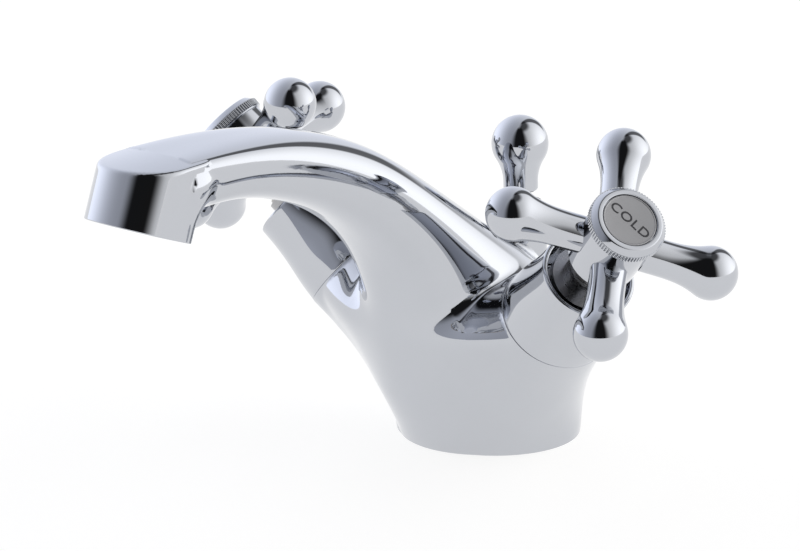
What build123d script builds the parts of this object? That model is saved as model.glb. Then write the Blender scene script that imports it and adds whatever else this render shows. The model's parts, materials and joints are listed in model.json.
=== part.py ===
from build123d import *
import os
from math import cos, sin, pi, radians

# Two-handle basin mixer with a pop-up waste lift rod. Millimetres.
# Origin at the centre of the base on the deck, +Z up, spout towards -Y.
# The cold valve leans towards +X and the hot valve towards -X.

# ---------------------------------------------------------------- casting
base_radius = 25.0
cavity_radius = 19.0
cavity_depth = 8.0
nose_reach = 129.4
spout_top = 104.5
nose_radius = 13.5
spout_overlap = 9.4
channel_overlap = 5.4
spout_end = spout_overlap - nose_reach
channel_end = channel_overlap - nose_reach

# The spout is a horn: each row is where one cross-section meets the top line and the
# underside line of the middle plane (y, z), then its half width, the share of its
# height above the widest line, and how square its top and bottom are (2 is round).
spout_sections = [
    ((base_radius, 0.0), (-base_radius, 0.0), base_radius, 0.50, 2.0, 2.0),
    ((25.4, 14.0), (-27.6, 5.5), 24.9, 0.50, 2.0, 2.0),
    ((24.0, 29.0), (-30.8, 14.5), 24.2, 0.50, 2.0, 2.0),
    ((17.0, 43.0), (-34.0, 25.0), 23.0, 0.50, 2.0, 2.0),
    ((5.0, 53.5), (-36.9, 36.5), 21.6, 0.50, 2.1, 2.0),
    ((-9.5, 64.0), (-40.0, 48.5), 20.0, 0.50, 2.2, 2.1),
    ((-29.0, 78.4), (-46.5, 60.5), 18.2, 0.48, 2.4, 2.2),
    ((-50.0, 92.2), (-58.5, 71.8), 16.4, 0.45, 2.8, 2.3),
    ((-68.0, 99.4), (-72.0, 79.8), 15.0, 0.42, 3.4, 2.4),
    ((-84.0, 102.8), (-86.0, 85.2), 14.2, 0.39, 4.2, 2.5),
    ((-101.0, 104.3), (-101.0, 88.4), 13.8, 0.36, 5.0, 2.6),
    ((spout_end, spout_top), (spout_end, 88.6), nose_radius, 0.34, 6.0, 2.8),
]

# nose of the spout: a half-round block cut square to the water stream
nose_height = 18.7
nose_tilt = 21.2
nose_back = 8.8

# ---------------------------------------------------------------- valves
valve_rise = 43.9
valve_forward = 13.2
valve_root = (0.0, -0.5, 6.0)

# the seam is where the bell cover stands on the casting, measured from the valve root
seam_station = 54.8
chamber_depth = 22.0
chamber_radius = 10.3
seat_length = 5.0
seat_radius = 4.6
wing_radius = 15.7

# each wing: how far along the way to the seam, and its radius there
wing_sections = [(0.62, 19.2), (0.84, 16.2)]
wing_foot_inset = 0.6
wing_foot_drop = 3.0
wing_bend = (0.0, 2.6, 6.0)

# ---------------------------------------------------------------- water ways
inlet_spacing = 16.0
inlet_back = 1.0
inlet_radius = 4.5
inlet_depth = 12.0
way_radius = 4.2
stud_offset = 12.0
stud_radius = 3.4
stud_depth = 14.0
cross_height = 39.5
cross_forward = 12.0
cross_reach = 23.0
cross_radius = 5.0
channel_radius = 5.5
channel_points = [(-12.0, 39.5), (-41.0, 71.0), (-70.0, 90.0), (-103.0, 96.5), (channel_end, 96.0)]
channel_bend = 30.0

# ---------------------------------------------------------------- aerator
aerator_bore = 11.5
aerator_depth = 12.0
aerator_recess = 0.6
washer_thickness = 1.8
washer_hole = 8.0
housing_length = 8.6
housing_wall = 1.7
housing_lip = 1.2
insert_height = 6.0
insert_hole = 1.1
insert_pitch = 2.9
insert_rings = 2

# ---------------------------------------------------------------- bell cover
bell_height = 24.3
bell_foot_radius = 15.6
bell_rim_radius = 12.95
bell_profile = [(0.235, 15.0), (0.48, 14.0), (0.75, 13.2)]  # share of the height, radius
bell_wall = 1.4
bell_flange = 1.5
bell_flange_hole = 10.6

# ---------------------------------------------------------------- headwork
# heights are measured from the seam, along the valve axis
thread_radius = 10.2
sleeve_radius = 8.6
sleeve_bore = 7.3
sleeve_top = -9.0
window_radius = 2.4
bonnet_ring_radius = 12.2
bonnet_ring_height = 1.2
hex_across = 19.0
hex_height = 6.4
collar_radius = 9.4
collar_height = 22.2
neck_radius = 6.6
neck_height = 27.4
spindle_radius = 4.25
seat_seal_height = 2.0
disc_radius = 7.0
disc_height = 3.0
disc_port = 2.2
disc_port_offset = 3.6
driver_height = 3.0
tongue_width = 3.0
tongue_depth = 1.0
groove_floor = 3.25
seal_section = 0.48
seal_heights = (12.0, 18.0)
circlip_height = 0.8
circlip_radius = 5.6
circlip_groove = 3.5

# ---------------------------------------------------------------- handle
handle_height = 41.4
hub_radius = 9.7
hub_below = 7.8
hub_above = 9.1
hub_edge = 0.8
stem_radius = 4.0
stem_above = 2.5
web_height = 2.2
socket_radius = 7.4
arm_reach = 27.9
arm_bulb_radius = 7.3
arm_neck_radius = 5.0
arm_neck_length = 9.7
arm_flare = 112.0
arm_pull = 0.36
cold_arm_turn = 61.9
hot_arm_turn = 22.7
screw_radius = 2.0
screw_length = 8.0
screw_bore_depth = 9.0
screw_head_radius = 3.6
screw_head_height = 2.4
screw_slot = 1.6

# cap ring with the knurled edge, and its index disc
cap_radius = 10.6
knurl_height = 2.3
cap_face_radius = 9.0
cap_shoulder = 10.3
cap_rise = 4.2
index_radius = 7.5
index_height = 1.0
index_recess = 0.25
plug_length = 3.6
plug_wall = 1.8

# ---------------------------------------------------------------- lift rod
rod_back = 13.9
rod_radius = 2.5
rod_end = 4.0
boss_radius = 7.0
boss_top = 61.0
boss_edge = 1.0
rod_hole_gap = 0.8
bush_radius = 4.4
bush_length = 14.0
bush_flange_radius = 5.6
bush_flange = 1.0
rod_seal_height = 1.6
knob_centre = 78.4
knob_radius = 7.9
knob_neck_radius = 4.8
knob_neck_length = 2.5
knob_flare = 122.0
knob_pull = 0.333
knob_foot = 65.2
knob_foot_edge = 0.8
knob_socket = 12.0

# ---------------------------------------------------------------- base seal
seal_inset = 1.4
seal_width = 3.2
seal_height = 2.0

# ---------------------------------------------------------------- clearances
slip = 0.05
free = 0.1
overshoot = 1.0
cutter = 200.0
ring_points = 24


# ================================================================ helpers
def valve_axis(side):
    rise = radians(valve_rise)
    lean = radians(valve_forward)
    return Vector(side * cos(rise) * cos(lean), -sin(lean), sin(rise) * cos(lean))


def valve_plane(side, station=0.0):
    """The plane square to a valve's axis, with its local X pointing to the back."""
    axis = valve_axis(side)
    across = Vector(0, 0, 1).cross(axis).normalized() * side
    return Plane(origin=Vector(*valve_root) + axis * station, x_dir=across, z_dir=axis)


def on_valve(side, solid):
    return valve_plane(side).location * solid


def turned(points):
    """A solid turned about Z from (radius, height) points."""
    outline = Polyline([(r, 0, z) for r, z in points], close=True)
    return revolve(make_face(outline), Axis.Z)


def tube(outer, inner, bottom, top):
    return turned([(inner, bottom), (outer, bottom), (outer, top), (inner, top)])


def rod(radius, bottom, top):
    return Pos(0, 0, bottom) * Cylinder(radius, top - bottom, align=(Align.CENTER, Align.CENTER, Align.MIN))


def rubber_ring(section, inner, station):
    return Pos(0, 0, station) * Torus(inner + section, section)


# ================================================================ casting
def spout_ring(top, underside, half_width, share, square_top, square_bottom):
    """One cross-section of the horn, as a closed curve in its own tilted plane."""
    high = Vector(0, *top)
    low = Vector(0, *underside)
    height = (high - low).length
    up = (high - low).normalized()
    middle = high - up * (height * share)
    plane = Plane(origin=middle, x_dir=(1, 0, 0), z_dir=Vector(1, 0, 0).cross(up))
    points = []
    for step in range(ring_points):
        angle = 2 * pi * step / ring_points
        above = sin(angle) >= 0
        power = 2 / (square_top if above else square_bottom)
        reach = height * (share if above else 1 - share)
        x = half_width * abs(cos(angle)) ** power * (1 if cos(angle) >= 0 else -1)
        y = reach * abs(sin(angle)) ** power * (1 if above else -1)
        points.append(plane.from_local_coords(Vector(x, y, 0)))
    return make_face(Spline(*points, periodic=True))


def horn():
    return loft([spout_ring(*row) for row in spout_sections])


def wing(side):
    """The branch that carries one valve, from the round base up to the bell's seam."""
    axis = valve_axis(side)
    bend = Vector(*wing_bend)
    seam = Vector(*valve_root) + axis * seam_station
    rings = [make_face(Pos(0, 0, -wing_foot_drop) * Circle(base_radius - wing_foot_inset).edge())]
    for share, radius in wing_sections:
        middle = bend * (2 * share * (1 - share)) + seam * share ** 2
        lean = bend * (1 - share) + (seam - bend) * share
        ring = Plane(origin=middle, x_dir=(0, 1, 0), z_dir=lean) * Circle(radius)
        rings.append(make_face(ring.edge()))
    rings.append(make_face((valve_plane(side, seam_station) * Circle(wing_radius)).edge()))
    below = Box(cutter, cutter, cutter, align=(Align.CENTER, Align.CENTER, Align.MAX))
    return loft(rings) - below


def nose_plane():
    tilt = radians(nose_tilt)
    middle = (0, -nose_reach, spout_top - nose_height)
    return Plane(origin=middle, x_dir=(1, 0, 0), z_dir=(0, sin(tilt), cos(tilt)))


def nose():
    """The half-round block at the tip, cut square to the stream."""
    outline = Circle(nose_radius) + Pos(0, nose_back / 2) * Rectangle(2 * nose_radius, nose_back)
    block = extrude(nose_plane() * outline, amount=2 * nose_radius)
    above = Box(2 * cutter, 2 * cutter, cutter, align=(Align.CENTER, Align.CENTER, Align.MIN))
    return block - Pos(0, 0, spout_top) * above


def boss():
    """The post behind the spout that guides the lift rod."""
    foot = base_radius - boss_radius
    post = Pos(0, rod_back, foot) * rod(boss_radius, 0, boss_top - foot)
    return fillet(post.edges().sort_by(Axis.Z)[-1], boss_edge)


def bar(radius, start, end):
    """A round bar from one point to another."""
    way = end - start
    return Plane(origin=start, z_dir=way).location * rod(radius, 0, way.length)


def water_ways(side):
    """One side's inlet, seat, valve chamber and passage to the middle."""
    floor = seam_station - chamber_depth
    inlet_end = Vector(side * inlet_spacing / 2, inlet_back, cavity_depth + inlet_depth)
    inlet = bar(inlet_radius, Vector(inlet_end.X, inlet_end.Y, 0), inlet_end)
    way = bar(way_radius, inlet_end, valve_plane(side, floor - seat_length / 2).origin)
    seat = rod(seat_radius, floor - seat_length, floor)
    chamber = rod(chamber_radius, floor, seam_station + overshoot)
    middle = Vector(0, -cross_forward, cross_height)
    passage = bar(cross_radius, middle, middle + Vector(side * cross_reach, 0, 0))
    return inlet + way + on_valve(side, seat + chamber) + passage


def spout_channel():
    """The bored way from the middle of the body to the aerator."""
    points = [Vector(0, y, z) for y, z in channel_points]
    path = FilletPolyline(*points, radius=channel_bend)
    start = Plane(origin=points[0], z_dir=points[1] - points[0])
    return sweep(start * Circle(channel_radius), path) + Pos(*points[0]) * Sphere(channel_radius)


def mixer_body():
    body = horn() + wing(1) + wing(-1) + nose() + boss()
    body -= rod(cavity_radius, -overshoot, cavity_depth)
    body -= water_ways(1) + water_ways(-1)
    body -= spout_channel()
    body -= nose_plane().location * rod(aerator_bore, -overshoot, aerator_depth)
    body -= Pos(0, -stud_offset, 0) * rod(stud_radius, 0, cavity_depth + stud_depth)
    body -= Pos(0, rod_back, 0) * rod(rod_radius + rod_hole_gap, 0, boss_top + overshoot)
    bush_seat = boss_top - bush_length - rod_seal_height
    body -= Pos(0, rod_back, 0) * rod(bush_radius + slip, bush_seat, boss_top + overshoot)
    body -= tube(seal_outer() + slip, seal_outer() - seal_width - slip, -overshoot, seal_height)
    return body


# ================================================================ base and aerator
def seal_outer():
    return base_radius - seal_inset


def base_seal():
    return tube(seal_outer(), seal_outer() - seal_width, 0, seal_height)


def in_nose(solid):
    return nose_plane().location * solid


def aerator_housing():
    """The threaded ring that holds the insert up against the washer."""
    outer = aerator_bore - slip
    inner = outer - housing_wall
    top = aerator_recess + housing_length
    points = [(inner - housing_lip, aerator_recess), (outer, aerator_recess), (outer, top), (inner, top)]
    points += [(inner, aerator_recess + housing_lip), (inner - housing_lip, aerator_recess + housing_lip)]
    return in_nose(turned(points))


def aerator_insert():
    """The plastic core with its straight-through holes."""
    radius = aerator_bore - slip - housing_wall - slip
    bottom = aerator_recess + housing_lip
    core = rod(radius, bottom, bottom + insert_height)
    for row in range(-insert_rings, insert_rings + 1):
        count = 2 * insert_rings + 1 - abs(row)
        for place in range(count):
            x = (place - (count - 1) / 2) * insert_pitch
            y = row * insert_pitch * sin(pi / 3)
            core -= Pos(x, y, 0) * rod(insert_hole, 0, bottom + insert_height + overshoot)
    return in_nose(core)


def aerator_washer():
    bottom = aerator_recess + housing_length
    return in_nose(tube(aerator_bore - slip, washer_hole, bottom, bottom + washer_thickness))


# ================================================================ valves
def bell(side):
    """The hollow cover around a headwork, clamped by its inner flange."""
    seat = seam_station
    rim = seat + bell_height
    flange_bottom = seat + bonnet_ring_height
    flange_top = flange_bottom + bell_flange
    swell = [(radius, 0, seat + share * bell_height) for share, radius in bell_profile]
    outer = Spline((bell_foot_radius, 0, seat), *swell, (bell_rim_radius, 0, rim))
    swell_inside = [(radius - bell_wall, 0, height) for radius, _, height in reversed(swell)]
    inner_foot = (bell_foot_radius - bell_wall, 0, flange_top)
    inner = Spline((bell_rim_radius - bell_wall, 0, rim), *swell_inside, inner_foot)
    across = Line(outer @ 1, inner @ 0)
    inside = [(bell_flange_hole, 0, flange_top), (bell_flange_hole, 0, flange_bottom)]
    inside += [(bell_foot_radius - bell_wall, 0, flange_bottom), (bell_foot_radius - bell_wall, 0, seat)]
    lower = Polyline(inner @ 1, *inside, outer @ 0)
    cover = revolve(make_face(outer + across + inner + lower), Axis.Z)
    return on_valve(side, cover)


def bonnet_ring(side):
    top = seam_station + bonnet_ring_height
    return on_valve(side, tube(bonnet_ring_radius, thread_radius + free, seam_station, top))


def seat_seal(side):
    floor = seam_station - chamber_depth
    return on_valve(side, tube(sleeve_radius, seat_radius, floor, floor + seat_seal_height))


def disc_station():
    return seam_station - chamber_depth + seat_seal_height


def fixed_disc(side):
    """The ceramic disc that stays still, with two ports."""
    disc = rod(disc_radius + free, disc_station(), disc_station() + disc_height)
    for end in (1, -1):
        disc -= Pos(end * disc_port_offset, 0, 0) * rod(disc_port, 0, seam_station)
    return on_valve(side, disc)


def moving_disc(side):
    """The ceramic disc that turns, with two ports and a slot for the spindle's tongue."""
    bottom = disc_station() + disc_height + slip
    disc = rod(disc_radius - free, bottom, bottom + disc_height)
    for end in (1, -1):
        disc -= Pos(0, end * disc_port_offset, 0) * rod(disc_port, 0, seam_station)
    slot = Pos(0, 0, bottom + disc_height) * Box(3 * disc_radius, tongue_width + slip, 2 * tongue_depth)
    return on_valve(side, disc - slot)


def headwork(side):
    """The brass bonnet: sleeve, thread, hexagon, gland collar and neck in one piece."""
    bottom = disc_station()
    seat = seam_station
    hex_bottom = seat + bonnet_ring_height + bell_flange
    hex_top = hex_bottom + hex_height
    collar = seat + collar_height
    neck = seat + neck_height
    body = rod(sleeve_radius, bottom, seat + sleeve_top)
    body += rod(thread_radius, seat + sleeve_top, hex_bottom)
    hexagon = RegularPolygon(hex_across / 2, 6, major_radius=False)
    body += Pos(0, 0, hex_bottom) * extrude(hexagon, hex_height)
    body += rod(collar_radius, hex_top, collar) + rod(neck_radius, collar, neck)
    body -= rod(spindle_radius + slip, bottom, neck + overshoot)
    body -= rod(sleeve_bore, bottom - overshoot, driver_top() + free)
    window_height = driver_top() - driver_height / 2
    for turn in (0, 90):
        across = Rot(0, 90, 0) * rod(window_radius, -thread_radius, thread_radius)
        body -= Pos(0, 0, window_height) * Rot(0, 0, turn) * across
    return on_valve(side, body)


def driver_top():
    return disc_station() + 2 * disc_height + slip + driver_height


def spindle(side):
    """The shaft from the moving disc up into the handle."""
    foot_bottom = driver_top() - driver_height
    top = seam_station + handle_height + stem_above
    neck = seam_station + neck_height
    shaft = rod(disc_radius - free, foot_bottom, driver_top())
    shaft += rod(spindle_radius, driver_top(), neck + free + circlip_height + free)
    shaft += rod(stem_radius, neck, top)
    for height in seal_heights:
        station = seam_station + height
        low, high = station - seal_section, station + seal_section
        shaft -= tube(spindle_radius + overshoot, groove_floor, low, high)
    shaft -= tube(spindle_radius + overshoot, circlip_groove, neck + free, neck + free + circlip_height)
    tongue_length = 2 * (disc_radius - 2 * free)
    tongue = Box(tongue_length, tongue_width, 2 * (tongue_depth - free))
    shaft += Pos(0, 0, foot_bottom) * (tongue & Cylinder(disc_radius - 2 * free, 4 * tongue_depth))
    shaft -= rod(screw_radius + slip, top - screw_bore_depth, top + overshoot)
    return on_valve(side, shaft)


def spindle_seals(side):
    rings = []
    for height in seal_heights:
        ring = rubber_ring(seal_section - slip / 2, groove_floor + slip, seam_station + height)
        rings.append(on_valve(side, ring))
    return rings


def circlip(side):
    """The spring ring in the spindle's groove, open on one side."""
    bottom = seam_station + neck_height + free
    ring = tube(circlip_radius, circlip_groove + slip, bottom, bottom + circlip_height)
    gap = Pos(circlip_radius, 0, bottom) * Box(2 * circlip_radius, circlip_groove, 4 * circlip_height)
    return on_valve(side, ring - gap)


# ================================================================ handles
def teardrop(neck_radius, neck_length, reach, radius, flare_angle, pull):
    """A round bar along X that swells into a ball, centred at reach."""
    flare = radians(flare_angle)
    meet = Vector(reach + radius * cos(flare), 0, radius * sin(flare))
    crest = Vector(reach + radius * cos(flare / 2), 0, radius * sin(flare / 2))
    neck = Line((0, 0, neck_radius), (neck_length, 0, neck_radius))
    hold = (meet - neck @ 1).length * pull
    leaving = neck @ 1 + Vector(hold, 0, 0)
    arriving = meet - Vector(sin(flare), 0, -cos(flare)) * hold
    swell = Bezier(neck @ 1, leaving, arriving, meet)
    ball = ThreePointArc(meet, crest, (reach + radius, 0, 0))
    middle = Polyline(ball @ 1, (0, 0, 0), neck @ 0)
    return revolve(make_face(neck + swell + ball + middle), Axis.X)


def handle(side, turn):
    """The cross handle: a hub with four teardrop arms, cast in one."""
    centre = seam_station + handle_height
    bottom = centre - hub_below
    top = centre + hub_above
    hub = rod(hub_radius, bottom, top)
    hub = fillet(hub.edges().group_by(Axis.Z)[0], hub_edge)
    arm = teardrop(arm_neck_radius, arm_neck_length, arm_reach, arm_bulb_radius, arm_flare, arm_pull)
    for quarter in range(4):
        hub += Pos(0, 0, centre) * Rot(0, 0, 90 * quarter) * arm
    hub -= rod(stem_radius + slip, bottom - overshoot, centre + stem_above + free)
    hub -= rod(screw_radius + free, centre, top)
    hub -= rod(socket_radius, screw_seat(), top + overshoot)
    return on_valve(side, Rot(0, 0, side * turn) * hub)


def screw_seat():
    return seam_station + handle_height + stem_above + free + web_height


def handle_screw(side):
    seat = screw_seat()
    top = seat + screw_head_height
    screw = rod(screw_radius, seat - screw_length, seat) + rod(screw_head_radius, seat, top)
    slot = Pos(0, 0, top) * Box(3 * screw_head_radius, screw_slot, screw_head_height)
    return on_valve(side, screw - slot)


def cap(side):
    """The knurled ring that plugs the hub and carries the index disc."""
    bottom = seam_station + handle_height + hub_above
    band = bottom + knurl_height
    top = bottom + cap_rise
    floor = top - index_height - index_recess
    pocket = index_radius + slip
    points = [(socket_radius - slip, bottom - plug_length), (socket_radius - slip, bottom)]
    points += [(cap_radius, bottom), (cap_radius, band), (cap_shoulder, band), (cap_face_radius, top)]
    points += [(pocket, top), (pocket, floor), (0, floor), (0, bottom)]
    points += [(socket_radius - plug_wall, bottom), (socket_radius - plug_wall, bottom - plug_length)]
    return on_valve(side, turned(points))


def index_disc(side):
    top = seam_station + handle_height + hub_above + cap_rise - index_recess
    return on_valve(side, rod(index_radius, top - index_height, top))


# ================================================================ lift rod
def on_rod(solid):
    return Pos(0, rod_back, 0) * solid


def rod_bush():
    seat = boss_top - bush_length
    bush = rod(bush_radius, seat, boss_top) + rod(bush_flange_radius, boss_top, boss_top + bush_flange)
    return on_rod(bush - rod(rod_radius + slip, seat - overshoot, boss_top + 2 * bush_flange))


def rod_seal():
    top = boss_top - bush_length
    return on_rod(tube(bush_radius, rod_radius + slip, top - rod_seal_height, top))


def lift_rod():
    return on_rod(rod(rod_radius, rod_end, knob_foot + knob_socket - free))


def lift_knob():
    """The ball on its neck, bored for the rod."""
    reach = knob_centre - knob_foot
    bar = teardrop(knob_neck_radius, knob_neck_length, reach, knob_radius, knob_flare, knob_pull)
    knob = Pos(0, 0, knob_foot) * Rot(0, -90, 0) * bar
    knob = fillet(knob.edges().sort_by(Axis.Z)[0], knob_foot_edge)
    return on_rod(knob - rod(rod_radius + slip, knob_foot - overshoot, knob_foot + knob_socket))


# ================================================================ all the pieces
pieces = {
    "mixer_body": mixer_body(),
    "base_seal": base_seal(),
    "aerator_housing": aerator_housing(),
    "aerator_insert": aerator_insert(),
    "aerator_washer": aerator_washer(),
    "rod_bush": rod_bush(),
    "rod_seal": rod_seal(),
    "lift_rod": lift_rod(),
    "lift_knob": lift_knob(),
}
for name, side, turn in (("cold", 1, cold_arm_turn), ("hot", -1, hot_arm_turn)):
    pieces[name + "_bell"] = bell(side)
    pieces[name + "_headwork"] = headwork(side)
    pieces[name + "_bonnet_ring"] = bonnet_ring(side)
    pieces[name + "_seat_seal"] = seat_seal(side)
    pieces[name + "_fixed_disc"] = fixed_disc(side)
    pieces[name + "_moving_disc"] = moving_disc(side)
    pieces[name + "_spindle"] = spindle(side)
    pieces[name + "_spindle_seals"] = Compound(children=spindle_seals(side))
    pieces[name + "_circlip"] = circlip(side)
    pieces[name + "_handle"] = handle(side, turn)
    pieces[name + "_handle_screw"] = handle_screw(side)
    pieces[name + "_cap"] = cap(side)
    pieces[name + "_index_disc"] = index_disc(side)

os.makedirs("parts", exist_ok=True)
for name, solid in pieces.items():
    export_step(solid, "parts/" + name + ".step")
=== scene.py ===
import json
import math

import bmesh
import bpy
import numpy as np
from mathutils import Matrix, Vector


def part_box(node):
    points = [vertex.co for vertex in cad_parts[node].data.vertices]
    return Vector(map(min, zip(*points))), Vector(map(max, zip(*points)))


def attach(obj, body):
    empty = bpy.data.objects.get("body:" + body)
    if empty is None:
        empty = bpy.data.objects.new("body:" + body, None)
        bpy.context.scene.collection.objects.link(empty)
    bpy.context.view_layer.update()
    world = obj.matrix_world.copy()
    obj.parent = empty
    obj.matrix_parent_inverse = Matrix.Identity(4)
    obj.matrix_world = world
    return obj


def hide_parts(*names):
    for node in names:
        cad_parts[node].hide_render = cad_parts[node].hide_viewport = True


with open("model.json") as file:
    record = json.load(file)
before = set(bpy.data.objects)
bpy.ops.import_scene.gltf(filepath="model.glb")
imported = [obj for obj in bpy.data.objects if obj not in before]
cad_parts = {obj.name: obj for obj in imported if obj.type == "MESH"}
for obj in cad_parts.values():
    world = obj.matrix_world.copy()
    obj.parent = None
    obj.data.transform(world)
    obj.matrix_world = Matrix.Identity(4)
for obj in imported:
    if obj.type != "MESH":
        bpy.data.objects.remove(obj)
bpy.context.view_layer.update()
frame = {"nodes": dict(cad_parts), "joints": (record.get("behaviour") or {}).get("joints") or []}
nodes = frame["nodes"]
mm = 0.001
up = Vector((0, 0, 1))


def corners(node):
    found = np.empty(len(nodes[node].data.vertices) * 3)
    nodes[node].data.vertices.foreach_get("co", found)
    return found.reshape(-1, 3)


# the two valves: root and axis come from the joints, local x points to the back
valves = {}
for joint in frame["joints"]:
    if joint["type"] == "hinge":
        side = joint["name"].split("_")[0]
        axis = Vector(joint["axis"]).normalized()
        sign = 1 if axis.x > 0 else -1
        across = up.cross(axis).normalized() * sign
        turn = Matrix((across, axis.cross(across), axis)).transposed().to_4x4()
        root = Vector(joint["pos_m"])
        valves[side] = {"place": Matrix.Translation(root) @ turn, "axis": axis, "root": root, "sign": sign}


def stations(node, side):
    # lowest and highest place of a node along its valve axis, and its largest radius
    valve = valves[side]
    away = corners(node) - np.array(valve["root"])
    along = away @ np.array(valve["axis"])
    around = np.linalg.norm(away - np.outer(along, valve["axis"]), axis=1)
    return along.min(), along.max(), around.max()


# spout rows are where a cross-section meets the top line and the underside line (y, z) in mm,
# its half width, its share above the widest line, and how square it is above and below
casting = {
    "spoutRows": [
        ((25.0, 0.0), (-25.0, 0.0), 25.0, 0.50, 2.0, 2.0),
        ((25.34, 14.0), (-27.6, 5.5), 24.9, 0.50, 2.0, 2.0),
        ((24.0, 29.0), (-30.8, 14.5), 24.2, 0.50, 2.0, 2.0),
        ((17.0, 43.0), (-34.0, 25.0), 23.0, 0.50, 2.0, 2.0),
        ((5.0, 53.5), (-36.9, 36.5), 21.6, 0.50, 2.1, 2.0),
        ((-9.5, 64.0), (-40.0, 48.5), 20.0, 0.50, 2.15, 2.1),
        ((-29.0, 78.4), (-46.5, 60.5), 18.2, 0.49, 2.2, 2.2),
        ((-50.0, 92.2), (-58.5, 71.8), 16.4, 0.48, 2.35, 2.3),
        ((-68.0, 99.4), (-72.0, 79.8), 15.0, 0.46, 2.5, 2.4),
        ((-84.0, 102.8), (-86.0, 85.2), 14.2, 0.43, 2.9, 2.5),
        ((-101.0, 104.3), (-101.0, 88.4), 13.8, 0.39, 3.6, 2.6),
        ((-120.0, 104.5), (-120.0, 88.6), 13.5, 0.36, 5.0, 2.8),
    ],
    # the trunk that carries both valves: height, half width, front, back
    "trunkRows": [
        (0.0, 24.4, -24.4, 23.0),
        (8.0, 26.8, -27.6, 22.6),
        (16.0, 30.6, -30.6, 21.0),
        (25.0, 36.0, -33.2, 18.0),
        (36.0, 47.0, -36.2, 12.0),
        (48.0, 58.0, -39.6, 4.0),
        (60.0, 70.0, -43.0, -5.0),
    ],
    "trunkTop": (42.0, 0.33, 16.0),  # height at the middle, slope towards the valves, rounding
    "trunkEnd": (15.2, 0.9, 6.0),  # radius at the bell's seam, flare behind it, rounding
    "trunkBlend": 8.0,
    "trunkRise": (0, 16),  # heights between which the trunk's blend opens
    "trunkFront": (-12, 4),  # y between which it ends
    "wingRows": [(0.62, 19.2), (0.84, 16.2), (1.0, 15.7)],  # share of the way to the bell, radius
    "wingBend": (0.0, 2.6, 6.0),
    "wingFoot": (-3.0, 24.4),  # height, radius
    "over": 4.0,  # how far wings and nose run on past their cut ends
    "noseRadius": 13.5,
    "noseMiddle": (-129.4, 85.8),
    "noseTilt": 21.2,
    "noseBack": 9.2,
    "noseTopEdge": 1.4,
    "noseBackEdge": 5.5,
    "noseCrown": (-112.0, 430.0, 75.0),  # where it begins to fall, radius along the spout, radius across
    "bossRadius": 7.0,
    "bossEdge": 1.5,
    "bossFoot": 18,
    "bossDrop": 1.0,  # from the bush's flange down to the boss
    "bossBlend": 4.0,
    "valleyBlend": 8.0,
    "valleyRise": (0, 26),
    "seamRoom": 10.0,  # distance from a bell's seam at which the blends are full
    "topDrop": 0.02,  # from the solid's top down to the skin's
    "noseBlend": 6.0,
    "noseFade": (96, 102.5),
    "cell": 1.7,
    "cellsAcross": 38,
    "gridBack": (-146, 31),
    "gridRise": (-6, 109),
    "lip": 0.6,
    "baseBand": 20,  # the skin below this height may be cut at the base
    "noseBand": (-105, 100),  # the skin before and below this may be cut at the nose
    "seamBand": (24, 6),  # distance around the seam and behind it
    "boreDepth": 1.0,  # faces further inside than this are bare metal
}


def smoothRun(knots, rows, at):
    # natural cubic through the rows
    knots = np.asarray(knots, float)
    rows = np.asarray(rows, float)
    gap = np.diff(knots)
    system = np.eye(len(knots))
    right = np.zeros_like(rows)
    for i in range(1, len(knots) - 1):
        system[i, i - 1:i + 2] = gap[i - 1], 2 * (gap[i - 1] + gap[i]), gap[i]
        right[i] = 6 * ((rows[i + 1] - rows[i]) / gap[i] - (rows[i] - rows[i - 1]) / gap[i - 1])
    bend = np.linalg.solve(system, right)
    k = np.clip(np.searchsorted(knots, at) - 1, 0, len(gap) - 1)
    a = ((knots[k + 1] - at) / gap[k])[:, None]
    b = 1 - a
    pull = ((a**3 - a) * bend[k] + (b**3 - b) * bend[k + 1]) * gap[k, None] ** 2 / 6
    return a * rows[k] + b * rows[k + 1] + pull


def ease(value, low, high):
    t = np.clip((value - low) / (high - low), 0, 1)
    return t * t * (3 - 2 * t)


def blend(a, b, width):
    # union of two distances with a fillet
    near = np.maximum(width - np.abs(a - b), 0) / np.maximum(width, 1e-6)
    return np.minimum(a, b) - near**3 * width / 6


def meet(a, b, width):
    return -blend(-a, -b, width)


class Track:
    # rows of numbers that change smoothly along a run
    def __init__(self, middles, rows, count=600):
        knots = np.concatenate([[0], np.cumsum(np.linalg.norm(np.diff(middles, axis=0), axis=1))])
        self.length = knots[-1]
        self.count = count
        self.rows = smoothRun(knots, rows, np.linspace(0, self.length, count + 1))

    def read(self, t):
        place = t * (self.count / self.length)
        i = np.minimum(place.astype(int), self.count - 1)
        rows = self.rows[i]
        return (rows + (self.rows[i + 1] - rows) * (place - i)[:, None]).T

    def find(self, ahead, count):
        # where along the run each point lies
        low = np.zeros(count)
        high = np.full(count, self.length)
        for _ in range(8):
            t = (low + high) / 2
            further = ahead(self.read(t)) > 0
            low = np.where(further, t, low)
            high = np.where(further, high, t)
        a = ahead(self.read(low))
        b = ahead(self.read(high))
        return low + (high - low) * np.clip(a / np.where(a == b, 1, a - b), 0, 1)


spoutRows = np.array([[*row[0], *row[1], *row[2:]] for row in casting["spoutRows"]])
spoutTrack = Track((spoutRows[:, 0:2] + spoutRows[:, 2:4]) / 2, spoutRows)


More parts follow.
